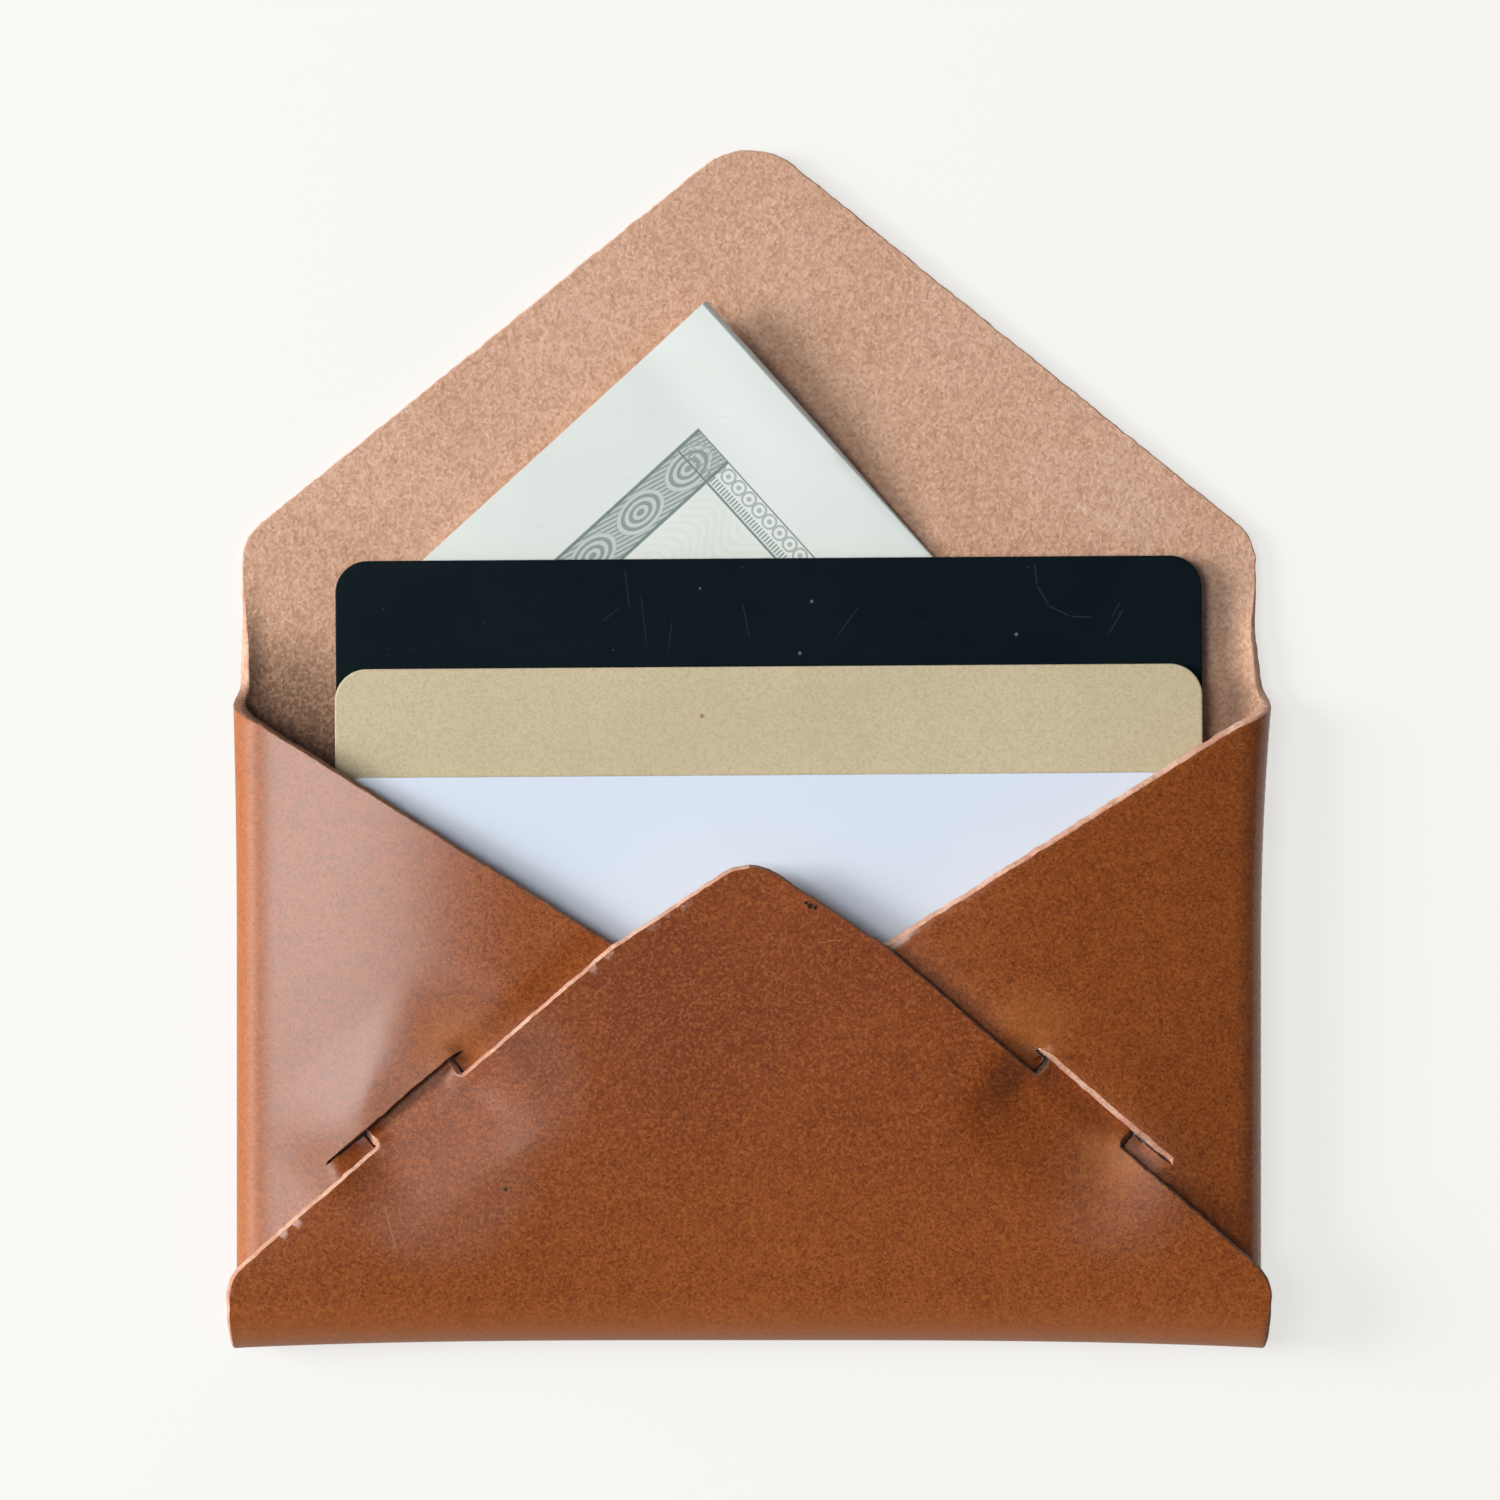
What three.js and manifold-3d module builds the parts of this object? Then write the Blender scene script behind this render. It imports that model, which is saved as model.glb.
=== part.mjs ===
// An envelope wallet folded from one piece of leather, lying open on its back, with three cards and a
// folded note in its pocket. The back panel runs on into the pointed top flap. Two side flaps fold over
// the pocket and the pointed front folds up over them. A tab on each edge of the front dips through a
// slit in the side flap, which keeps the envelope shut without a stitch.
// Millimetres. +X is to the right, +Y towards the tip of the top flap, +Z up out of the pocket.
// The origin is under the middle of the object, on the surface that it lies on.
import * as THREE from "three";
import { mergeVertices } from "three/addons/utils/BufferGeometryUtils.js";
import Module from "manifold-3d";

// Cards and note
const CARD = { width: 85.6, height: 53.98, radius: 3.18, thickness: 0.76 };
const CARD_STEP = 10.7; // each card stands this much higher than the one in front of it
const CARD_TILT = 0.4; // in degrees
const CARDS_RIGHT = 2.1; // the cards lie this far right of the middle
const NOTE = { length: 67, folded: 40, sheet: 0.1, air: 0.05 }; // folded in half twice
const NOTE_CORNER = { right: -4.4, up: 102.3 }; // its top corner, from the bottom fold
const NOTE_TURN = 47.8; // fall of its long edge, in degrees
const REST_GAP = 0.3; // between things that rest on each other

// Leather
const LEATHER = 1.2;
const LAYER_GAP = 0.2; // between two layers of leather

// Pocket
const SIDE_ROOM = 7.8; // mean distance from a card's end to the outside of the side fold
const POCKET_DEPTH = 64.1; // bottom fold to the neck, where the top flap starts
const RELIEF = 0.5; // slot between a side fold and the bottom fold

// Top flap
const FLAP_INSET = 0.4; // a flap edge lies this far inside the side fold
const FLAP_SHOULDER = 15.1; // neck to the corner where a slanted edge starts
const FLAP_HEIGHT = 53.5; // neck to the tip
const FLAP_TIP_RADIUS = 7.2;
const FLAP_SHOULDER_RADIUS = 5;

// Side flaps
const SIDE_DROP = 4; // neck to the top edge, where the side flap leaves its fold
const SIDE_TOP_SLOPE = 32; // fall of the top edge, in degrees
const SIDE_LOW_SLOPE = 33; // rise of the lower edge, hidden by the front
const SIDE_TIP_RADIUS = 5;

// Front
const FRONT_OVERHANG = 0.7; // past the outside of the side folds, at each end
const FRONT_HEIGHT = 46.9; // bottom fold to the tip
const FRONT_CORNER = 6.5; // bottom fold to the corner where a slanted edge starts
const FRONT_TIP_RADIUS = 11;
const FRONT_CORNER_RADIUS = 3;

// Tabs and slits. Distances run up the front's edge from its corner, and out across it.
const SLIT_START = 14.8;
const SLIT_LENGTH = 17.6;
const SLIT_OUT = 1.9; // front's edge to the middle of the slit
const TAB_START = 4.9; // slit's lower end to the tab
const TAB_WIDTH = 10.9;
const TAB_REACH = 4.5; // beyond the slit
const TAB_ROOT = 3; // the tab's solid overlaps the front by this much
const TAB_CORNER_RADIUS = 1.5;
const DIP_ANGLE = 60; // slope of the tab where it passes the slit, in degrees

const { Shape, Vector2: V } = THREE;
const rad = THREE.MathUtils.degToRad;
const wasm = await Module();
wasm.setup();

// Heights of everything in the pocket, from the table up
const noteThickness = 4 * NOTE.sheet + 3 * NOTE.air;
const noteBase = LEATHER + REST_GAP;
const cardPitch = CARD.thickness + REST_GAP;
const blackBase = noteBase + noteThickness + REST_GAP;
const tanBase = blackBase + cardPitch;
const whiteBase = tanBase + cardPitch;
const tabBase = whiteBase + cardPitch;
const sideBase = tabBase + LEATHER + LAYER_GAP;
const frontBase = sideBase + LEATHER + LAYER_GAP;
const half = LEATHER / 2;

// Plan of the folds
const foldHalf = CARD.width / 2 + SIDE_ROOM;
const sideRadius = sideBase / 2; // of the leather's middle surface
const frontRadius = frontBase / 2;
const sideLine = foldHalf - half - sideRadius; // where a side fold starts
const bottomLine = half + frontRadius; // where the bottom fold starts
const flapHalf = foldHalf - FLAP_INSET;
const frontHalf = foldHalf + FRONT_OVERHANG;
const foldEnd = bottomLine + RELIEF;

// A closed shape from corners, each [x, y] or [x, y, radius of its rounding]
function rounded(corners) {
  const shape = new Shape();
  corners.forEach(([x, y, r = 0], i) => {
    const here = new V(x, y);
    const before = new V(...corners.at(i - 1)).sub(here);
    const after = new V(...corners[(i + 1) % corners.length]).sub(here);
    if (r === 0) {
      i === 0 ? shape.moveTo(x, y) : shape.lineTo(x, y);
      return;
    }
    const opening = Math.acos(before.clone().normalize().dot(after.clone().normalize()));
    const along = r / Math.tan(opening / 2);
    const start = here.clone().addScaledVector(before.normalize(), along);
    const toCentre = before.clone().add(after.normalize()).normalize();
    const centre = here.clone().addScaledVector(toCentre, r / Math.sin(opening / 2));
    const a = start.clone().sub(centre).angle();
    const clockwise = before.cross(after) > 0;
    const sweep = (clockwise ? -1 : 1) * (Math.PI - opening);
    if (i === 0) shape.moveTo(start.x, start.y);
    shape.absarc(centre.x, centre.y, r, a, a + sweep, clockwise);
  });
  return shape;
}

// The section of a sheet: a path thickened to both sides
function section(path, thickness) {
  const side = (sign) =>
    path.map((p, i) => {
      const back = i > 0 ? p.clone().sub(path[i - 1]).normalize() : null;
      const on = i < path.length - 1 ? path[i + 1].clone().sub(p).normalize() : null;
      const dir = (back ?? on).clone().add(on ?? back).normalize();
      const mitre = back && on ? dir.dot(on) : 1;
      return p.clone().add(new V(-dir.y, dir.x).multiplyScalar((sign * thickness) / 2 / mitre));
    });
  return new Shape([...side(-1), ...side(1).reverse()]);
}

const arc = (cx, cy, r, from, to, steps) =>
  Array.from({ length: steps + 1 }, (_, i) => {
    const a = rad(from + ((to - from) * i) / steps);
    return new V(cx + r * Math.cos(a), cy + r * Math.sin(a));
  });

const extrude = (shape, depth, curveSegments = 8) =>
  new THREE.ExtrudeGeometry(shape, { depth, bevelEnabled: false, curveSegments });

// A sheet lying at a height
const plate = (shape, z, thickness = LEATHER) => extrude(shape, thickness).translate(0, 0, z);

// A section in X and Z, running up Y
function alongY(shape, from, to) {
  return extrude(shape, to - from).rotateX(Math.PI / 2).translate(0, to, 0);
}

// A section in Y and Z, running along X
function alongX(shape, from, to) {
  const turned = new THREE.Matrix4().set(0, 0, 1, from, 1, 0, 0, 0, 0, 1, 0, 0, 0, 0, 0, 1);
  return extrude(shape, to - from).applyMatrix4(turned);
}

function solid(geometry) {
  geometry.deleteAttribute("normal");
  geometry.deleteAttribute("uv");
  const merged = mergeVertices(geometry, 1e-5);
  return new wasm.Manifold(
    new wasm.Mesh({
      numProp: 3,
      vertProperties: merged.attributes.position.array,
      triVerts: Uint32Array.from(merged.index.array),
    }),
  );
}

function geometryOf(manifold) {
  const mesh = manifold.getMesh();
  const geometry = new THREE.BufferGeometry();
  geometry.setAttribute("position", new THREE.BufferAttribute(Float32Array.from(mesh.vertProperties), 3));
  geometry.setIndex(new THREE.BufferAttribute(Uint32Array.from(mesh.triVerts), 1));
  return geometry;
}

function mirrored(manifold) {
  const geometry = geometryOf(manifold).scale(-1, 1, 1);
  const { array } = geometry.index;
  for (let i = 0; i < array.length; i += 3) [array[i], array[i + 1]] = [array[i + 1], array[i]];
  return solid(geometry);
}

// Slope of an edge from a corner up to a tip that is rounded and ends at the given height
function slantTo(halfWidth, height, radius) {
  let slope = Math.atan2(height, halfWidth);
  for (let i = 0; i < 30; i++) {
    slope = Math.atan2(height + radius * (1 / Math.cos(slope) - 1), halfWidth);
  }
  return slope;
}

// Back panel and top flap
const neck = POCKET_DEPTH;
const flapCorner = neck + FLAP_SHOULDER;
const flapSlant = slantTo(flapHalf, FLAP_HEIGHT - FLAP_SHOULDER, FLAP_TIP_RADIUS);
const flapSharpTip = flapCorner + flapHalf * Math.tan(flapSlant);
const backShape = rounded([
  [-frontHalf, bottomLine],
  [frontHalf, bottomLine],
  [frontHalf, foldEnd],
  [sideLine, foldEnd],
  [sideLine, neck],
  [flapHalf, neck],
  [flapHalf, flapCorner, FLAP_SHOULDER_RADIUS],
  [0, flapSharpTip, FLAP_TIP_RADIUS],
  [-flapHalf, flapCorner, FLAP_SHOULDER_RADIUS],
  [-flapHalf, neck],
  [-sideLine, neck],
  [-sideLine, foldEnd],
  [-frontHalf, foldEnd],
]);

// Front, folded up over the side flaps
const frontSlant = slantTo(frontHalf, FRONT_HEIGHT - FRONT_CORNER, FRONT_TIP_RADIUS);
const frontShape = rounded([
  [-frontHalf, bottomLine],
  [frontHalf, bottomLine],
  [frontHalf, FRONT_CORNER, FRONT_CORNER_RADIUS],
  [0, FRONT_CORNER + frontHalf * Math.tan(frontSlant), FRONT_TIP_RADIUS],
  [-frontHalf, FRONT_CORNER, FRONT_CORNER_RADIUS],
]);
const bottomArc = arc(bottomLine, half + frontRadius, frontRadius, 270, 90, 16);
const bottomFold = alongX(section(bottomArc, LEATHER), -frontHalf, frontHalf);

// Right side flap and its fold. The fold's front half is cut down to the flap's top edge.
const sideTop = neck - SIDE_DROP;
const fall = Math.tan(rad(SIDE_TOP_SLOPE));
const rise = Math.tan(rad(SIDE_LOW_SLOPE));
const sideSpan = (sideTop - foldEnd) / (fall + rise);
const sideShape = rounded([
  [sideLine, foldEnd],
  [sideLine, sideTop],
  [sideLine - sideSpan, sideTop - sideSpan * fall, SIDE_TIP_RADIUS],
]);
const sideArc = arc(sideLine, half + sideRadius, sideRadius, -90, 90, 16);
const sideFold = alongY(section(sideArc, LEATHER), foldEnd, neck);
const foldMiddle = half + sideRadius;
const foldCut = alongX(
  new Shape([
    new V(sideTop, 2 * foldMiddle),
    new V(neck, foldMiddle),
    new V(neck + LEATHER, foldMiddle),
    new V(neck + LEATHER, 2 * foldMiddle),
  ]),
  sideLine - LEATHER,
  foldHalf + LEATHER,
);

// Where the tab and the slit lie: X out across the front's right edge, Y up along it
const edge = new THREE.Matrix4()
  .makeRotationZ(Math.PI / 2 - frontSlant)
  .setPosition(frontHalf, FRONT_CORNER, 0);
const mid = (base) => base + half;
const dip = Math.tan(rad(DIP_ANGLE));
const tabLow = SLIT_START + TAB_START;
const tabHigh = tabLow + TAB_WIDTH;
const tabTip = SLIT_OUT + TAB_REACH;
const tabPath = [
  new V(-TAB_ROOT, mid(frontBase)),
  new V(SLIT_OUT - (frontBase - sideBase) / dip, mid(frontBase)),
  new V(SLIT_OUT + (sideBase - tabBase) / dip, mid(tabBase)),
  new V(tabTip, mid(tabBase)),
];
const tabOutline = rounded([
  [-TAB_ROOT, tabLow],
  [tabTip, tabLow, TAB_CORNER_RADIUS],
  [tabTip, tabHigh, TAB_CORNER_RADIUS],
  [-TAB_ROOT, tabHigh],
]);
const tab = solid(alongY(section(tabPath, LEATHER), tabLow, tabHigh).applyMatrix4(edge)).intersect(
  solid(plate(tabOutline, 0, 2 * frontBase).applyMatrix4(edge)),
);

// The slit is pushed open where the tab passes and closes to a point at each end
const slitHalf = half / Math.sin(rad(DIP_ANGLE)) + half / dip + LAYER_GAP;
const slit = plate(
  new Shape([
    new V(SLIT_OUT, SLIT_START),
    new V(SLIT_OUT + slitHalf, tabLow - LAYER_GAP),
    new V(SLIT_OUT + slitHalf, tabHigh + LAYER_GAP),
    new V(SLIT_OUT, SLIT_START + SLIT_LENGTH),
    new V(SLIT_OUT - slitHalf, tabHigh + LAYER_GAP),
    new V(SLIT_OUT - slitHalf, tabLow - LAYER_GAP),
  ]),
  0,
  2 * frontBase,
).applyMatrix4(edge);

const rightSide = solid(plate(sideShape, sideBase))
  .subtract(solid(slit))
  .add(solid(sideFold).subtract(solid(foldCut)));
const leather = [rightSide, mirrored(rightSide), tab, mirrored(tab), solid(bottomFold)].reduce(
  (sum, piece) => sum.add(piece),
  solid(plate(backShape, 0)).add(solid(plate(frontShape, frontBase))),
);

// A card, standing some way up from the pocket's bottom
const cardShape = rounded([
  [-CARD.width / 2, -CARD.height / 2, CARD.radius],
  [CARD.width / 2, -CARD.height / 2, CARD.radius],
  [CARD.width / 2, CARD.height / 2, CARD.radius],
  [-CARD.width / 2, CARD.height / 2, CARD.radius],
]);
const cardFoot = LEATHER + REST_GAP + (CARD.width / 2) * Math.sin(rad(CARD_TILT));
function card(name, base, steps, color, roughness) {
  const mesh = new THREE.Mesh(
    extrude(cardShape, CARD.thickness),
    new THREE.MeshStandardMaterial({ name, color, roughness, metalness: 0 }),
  );
  mesh.name = name;
  mesh.rotation.z = rad(CARD_TILT);
  mesh.position.set(CARDS_RIGHT, cardFoot + CARD.height / 2 + steps * CARD_STEP, base);
  return mesh;
}

// The note: one strip of paper, folded in half and in half again. Its section has the two folds of
// the second folding on the right, and the first fold and the two ends on the left.
const pitch = NOTE.sheet + NOTE.air;
const level = (i) => NOTE.sheet / 2 + i * pitch;
const noteLeft = NOTE.sheet / 2;
const noteRight = NOTE.folded - NOTE.sheet / 2;
const notePath = [
  new V(noteLeft, level(0)),
  new V(noteRight, level(0)),
  new V(noteRight, level(3)),
  new V(noteLeft, level(3)),
  new V(noteLeft, level(2)),
  new V(noteRight - pitch, level(2)),
  new V(noteRight - pitch, level(1)),
  new V(noteLeft, level(1)),
];
const note = new THREE.Mesh(
  alongY(section(notePath, NOTE.sheet), -NOTE.length, 0).translate(-NOTE.folded, 0, 0),
  new THREE.MeshStandardMaterial({ name: "note", color: 0xd8dfd9, roughness: 0.85, metalness: 0 }),
);
note.name = "folded_note";
note.rotation.z = rad(90 - NOTE_TURN);
note.position.set(NOTE_CORNER.right, NOTE_CORNER.up, noteBase);

const sheet = new THREE.Mesh(
  geometryOf(leather),
  new THREE.MeshStandardMaterial({ name: "leather", color: 0x8a4b28, roughness: 0.5, metalness: 0 }),
);
sheet.name = "leather_sheet";

const wallet = new THREE.Group();
wallet.add(
  sheet,
  note,
  card("black_card", blackBase, 2, 0x141c20, 0.45),
  card("tan_card", tanBase, 1, 0xc2b391, 0.8),
  card("white_card", whiteBase, 0, 0xdde4ee, 0.5),
);
wallet.position.y = -(neck + FLAP_HEIGHT) / 2;

export default wallet;
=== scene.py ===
import math

import bpy
import numpy as np
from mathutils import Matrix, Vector
from mathutils.geometry import delaunay_2d_cdt
from mathutils.kdtree import KDTree


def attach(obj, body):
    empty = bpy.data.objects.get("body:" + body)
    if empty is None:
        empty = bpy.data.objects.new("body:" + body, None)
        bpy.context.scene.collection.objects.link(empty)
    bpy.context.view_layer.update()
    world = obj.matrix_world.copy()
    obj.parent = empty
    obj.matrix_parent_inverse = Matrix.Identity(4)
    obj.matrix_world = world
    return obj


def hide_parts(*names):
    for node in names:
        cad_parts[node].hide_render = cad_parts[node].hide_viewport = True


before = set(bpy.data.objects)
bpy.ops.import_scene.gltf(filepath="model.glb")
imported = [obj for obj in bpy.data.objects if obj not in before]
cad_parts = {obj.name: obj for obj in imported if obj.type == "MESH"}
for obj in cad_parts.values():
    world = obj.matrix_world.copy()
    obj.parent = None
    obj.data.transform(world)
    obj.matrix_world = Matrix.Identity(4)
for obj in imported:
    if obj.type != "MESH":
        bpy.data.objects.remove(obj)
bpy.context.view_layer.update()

MM = 0.001
MIDDLE_Y = 58.8  # bottom fold to the frame's origin, in mm


# Camera: straight down on the wallet, from far enough to keep the layers in line
camera = bpy.data.cameras.new("camera")
camera.sensor_width = 36.0
camera.lens = 36.0 * 800.0 / 147.8
camera.clip_end = 10.0
camera_object = bpy.data.objects.new("camera", camera)
camera_object.location = (0.1 * MM, -0.57 * MM, 0.805)
bpy.context.scene.collection.objects.link(camera_object)
bpy.context.scene.camera = camera_object

# The leather, in mm: a flat pattern in u and v that is folded and given its thickness.
# v is 0 at the outside of the bottom fold when the back panel lies flat.
LEATHER = 1.2
HALF = LEATHER / 2
FOLD_HALF = 50.6
SIDE_LEVEL = 5.42  # middle of the side flap where it leaves its fold
SIDE_RISE = 2.43
SIDE_EASE = 26.0
FRONT_LEVEL = 7.5
FRONT_RISE = 1.5
FRONT_EASE = 25.0
NECK = 64.1
FLAP_HALF = 50.2
FLAP_CORNER = NECK + 15.1
FRONT_HALF = 51.5
FRONT_CORNER = 6.5
RELIEF = 0.5
REST_GAP = 0.3

SIDE_SLOPE = 2 * SIDE_RISE / SIDE_EASE
FRONT_SLOPE = 2 * FRONT_RISE / FRONT_EASE
SIDE_R = (SIDE_LEVEL - HALF) / (1 + math.cos(SIDE_SLOPE))
FRONT_R = (FRONT_LEVEL - HALF) / (1 + math.cos(FRONT_SLOPE))
SIDE_TURN = SIDE_R * (math.pi - SIDE_SLOPE)
FRONT_TURN = FRONT_R * (math.pi - FRONT_SLOPE)
SIDE_LINE = FOLD_HALF - HALF - SIDE_R
SIDE_FRONT = SIDE_LINE + SIDE_R * math.sin(SIDE_SLOPE)
BOTTOM_LINE = HALF + FRONT_R
FRONT_START = BOTTOM_LINE - FRONT_R * math.sin(FRONT_SLOPE)
FOLD_END = BOTTOM_LINE + 0.35 + RELIEF

# Along and across the front's slanted edge: the slit, the tab, the front's dip and dive
SLIT_START, SLIT_LENGTH, SLIT_OUT = 14.8, 17.6, 1.8
TAB_START, TAB_WIDTH, TAB_REACH = 4.9, 10.9, 3.2
RAMP_FROM, RAMP_TO, DIVE_TO = -9.5, -1.6, 2.2
TAB_LEVEL, TAB_FALL = 6.26, 0.4
DIP_LEVEL = 7.2  # where the front still clears the strip between its edge and the slit
LAYER_STEP = 1.45  # least distance from the front's middle to the side flap's
LIP_STEP = 1.29  # from the tab's middle to the lip's
PRESSED_LEVEL = 5.3 + HALF  # the side flap pressed down on the cards


def slant_to(half_width, height, radius):
    slope = math.atan2(height, half_width)
    for _ in range(30):
        slope = math.atan2(height + radius * (1 / math.cos(slope) - 1), half_width)
    return slope


FRONT_SLANT = math.radians(40.6)
FLAP_SLANT = slant_to(FLAP_HALF, 53.5 - 15.1, 7.2)
ALONG = np.array([-math.cos(FRONT_SLANT), math.sin(FRONT_SLANT)])
OUT = np.array([math.sin(FRONT_SLANT), math.cos(FRONT_SLANT)])
CORNER = np.array([FRONT_HALF, FRONT_CORNER])


def smooth(t):
    t = np.clip(t, 0, 1)
    return t * t * (3 - 2 * t)


def swell(q):
    return 1 - (1 - np.clip(q, 0, 1)) ** 2


def noise(x, y, seed, size):
    """Smooth value noise from -1 to 1."""
    px, py = np.asarray(x) / size, np.asarray(y) / size
    ix, iy = np.floor(px), np.floor(py)
    fx, fy = smooth(px - ix), smooth(py - iy)

    def corner(a, b):
        h = np.sin(a * 127.1 + b * 311.7 + seed * 74.7) * 43758.5453
        return (h - np.floor(h)) * 2 - 1

    low = corner(ix, iy) * (1 - fx) + corner(ix + 1, iy) * fx
    high = corner(ix, iy + 1) * (1 - fx) + corner(ix + 1, iy + 1) * fx
    return low * (1 - fy) + high * fy


def edge_frame(x, y):
    """How far up the front's slanted edge a place is, and how far out across it."""
    dx, dy = np.abs(x) - CORNER[0], y - CORNER[1]
    return dx * ALONG[0] + dy * ALONG[1] - SLIT_START, dx * OUT[0] + dy * OUT[1]


def side_plain(x, y):
    return SIDE_LEVEL + SIDE_RISE * swell((SIDE_FRONT - np.abs(x)) / SIDE_EASE)


def front_plain(x, y):
    ends = 0.35 * np.clip(np.abs(x) / FRONT_HALF, 0, 1) ** 6
    rise = FRONT_RISE * swell((y - FRONT_START) / FRONT_EASE)
    return FRONT_LEVEL + rise - ends * smooth((y - 5) / 10)


def tab_level(a):
    """The tab lies a little lower at its lower end, where the side flap is near its fold."""
    return TAB_LEVEL - TAB_FALL * np.clip((TAB_START + TAB_WIDTH - a) / TAB_WIDTH, 0, 1)


def front_drop(x, y, a, d):
    """How far the tab pulls the front down: a wide dip, then its own dive through the slit."""
    t = np.clip((d - RAMP_FROM) / (RAMP_TO - RAMP_FROM), 0, 1)
    window = smooth((a - TAB_START + 7) / 7.5) * smooth((TAB_START + TAB_WIDTH + 4.8 - a) / 5.2)
    dip = (front_plain(x, y) - DIP_LEVEL) * (smooth(t) + t) / 2 * window
    t = np.clip((d - RAMP_TO) / (DIVE_TO - RAMP_TO), 0, 1)
    spare = 2.2 * np.clip(d / SLIT_OUT, 0, 1)
    own = smooth((a - TAB_START + spare) / 2.2) * smooth((TAB_START + TAB_WIDTH - a + spare) / 2.2)
    return dip + (DIP_LEVEL - tab_level(a)) * (smooth(t) + t) / 2 * own


def front_height(x, y):
    return front_plain(x, y) - front_drop(x, y, *edge_frame(x, y))


def side_height(x, y, outer):
    """The side flap: its outer lip lies over the tab, its inner lip is pressed down by it."""
    a, d = edge_frame(x, y)
    plain = side_plain(x, y)
    over = tab_level(a) + LIP_STEP + 0.1 * np.exp(-np.clip(d - SLIT_OUT, 0, 30) / 2.2)
    reach = smooth((a + 4) / (TAB_START + 4)) * smooth((SLIT_LENGTH + 1.5 - a) / 3.2)
    lip = plain + np.clip(over - plain, 0, 0.3) * reach * smooth((11 - d) / 7.5)
    inner = np.minimum(plain, np.maximum(front_height(x, y) - LAYER_STEP, PRESSED_LEVEL))
    under = front_plain(x, y) - front_drop(x, y, a, np.minimum(d, 0)) - LAYER_STEP
    pressed = lip - np.maximum(0, lip - under) * smooth((3.5 - d) / 3.5)
    lip = pressed + (lip - pressed) * smooth((SLIT_LENGTH - a) / 1.8) * smooth(a / 1.1)
    inner = pressed + (inner - pressed) * smooth((SLIT_LENGTH - a) / 1.2) * smooth(a / 1.5)
    return np.where(outer, lip, inner)


def fold(u, v, outer):
    """The middle surface of the folded sheet."""
    x = np.abs(u)
    px, py, pz = x.copy(), v.copy(), np.full_like(x, HALF)
    front = v < BOTTOM_LINE
    run = BOTTOM_LINE - v
    turn = run / FRONT_R
    bend = front & (run <= FRONT_TURN)
    py[bend] = (BOTTOM_LINE - FRONT_R * np.sin(turn))[bend]
    pz[bend] = (HALF + FRONT_R * (1 - np.cos(turn)))[bend]
    flat = front & ~bend
    py[flat] = (FRONT_START + run - FRONT_TURN)[flat]
    pz[flat] = front_height(x, py)[flat]
    # The fold opens out above the neck
    side = (v > FOLD_END - RELIEF / 2) & (x > SIDE_LINE)
    s = x - SIDE_LINE
    curl = np.where(v <= NECK, 1.0, 1 - smooth((v - NECK) / 13))
    curl = np.maximum(curl, 1e-4)
    turn = s * curl / SIDE_R
    bend = side & ~((v <= NECK + 0.6) & (s > SIDE_TURN))
    px[bend] = (SIDE_LINE + SIDE_R * np.sin(turn) / curl)[bend]
    pz[bend] = (HALF + SIDE_R * (1 - np.cos(turn)) / curl)[bend]
    flat = side & ~bend
    px[flat] = (SIDE_FRONT - (s - SIDE_TURN))[flat]
    pz[flat] = side_height(px, v, outer)[flat]
    # Wear: the folds flare at the neck and at the bottom corners
    right = u > 0
    at_side = np.clip((px - SIDE_LINE) / SIDE_R, 0, 1) * ~front
    near_neck = np.clip(1 - np.abs(NECK - 1 - py) / 24, 0, 1) ** 2
    below = py < NECK + 1
    fading = np.where(below, 1, smooth((NECK + 7 - py) / 6))
    px += np.where(right, 1.05, 0.35) * near_neck * at_side * fading
    low = np.clip(1 - py / 13, 0, 1) ** 1.6
    py -= 0.85 * np.minimum(1, low) * (x / FRONT_HALF) ** 3.2
    around = np.clip(1 - np.abs(run - FRONT_TURN * 0.5) / (FRONT_TURN * 0.8), 0, 1)
    px -= np.where(front, 0.55 * around * (x / FRONT_HALF) ** 8, 0)
    # The open flap lies almost flat, its tip and shoulders a little off the table
    above = np.clip((py - NECK) / 53.5, 0, 1)
    pz += 0.55 * above ** 2.5 + 0.25 * above * np.clip(px / 50, 0, 1) ** 2
    px *= np.where(right, 1, -1)
    pz += 0.08 * noise(px, py, 3, 17) * smooth((pz - 1.5) / 3)
    return np.stack([px, py, pz], axis=1)


def rounded(points):
    """A closed outline from corners [x, y, radius], sampled finely."""
    out = []
    n = len(points)
    for i, (x, y, r) in enumerate(points):
        here = np.array([x, y])
        if r == 0:
            out.append(here)
            continue
        before = np.array(points[i - 1][:2]) - here
        after = np.array(points[(i + 1) % n][:2]) - here
        before /= np.linalg.norm(before)
        after /= np.linalg.norm(after)
        opening = math.acos(np.clip(before @ after, -1, 1))
        along = r / math.tan(opening / 2)
        p, q = here + before * along, here + after * along
        centre = here + (before + after) / np.linalg.norm(before + after) * r / math.sin(opening / 2)
        steps = max(3, int((math.pi - opening) * r / 0.3))
        a = math.atan2(*(p - centre)[::-1])
        b = math.atan2(*(q - centre)[::-1])
        sweep = (b - a + math.pi) % (2 * math.pi) - math.pi
        for k in range(steps + 1):
            t = a + sweep * k / steps
            out.append(centre + r * np.array([math.cos(t), math.sin(t)]))
    return np.array(out)


def resample(loop, step):
    """Points along a closed loop, its corners kept."""
    out = []
    for a, b in zip(loop, np.roll(loop, -1, axis=0)):
        count = max(1, int(round(np.linalg.norm(b - a) / step)))
        out += [a + (b - a) * k / count for k in range(count)]
    return np.array(out)


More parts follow.
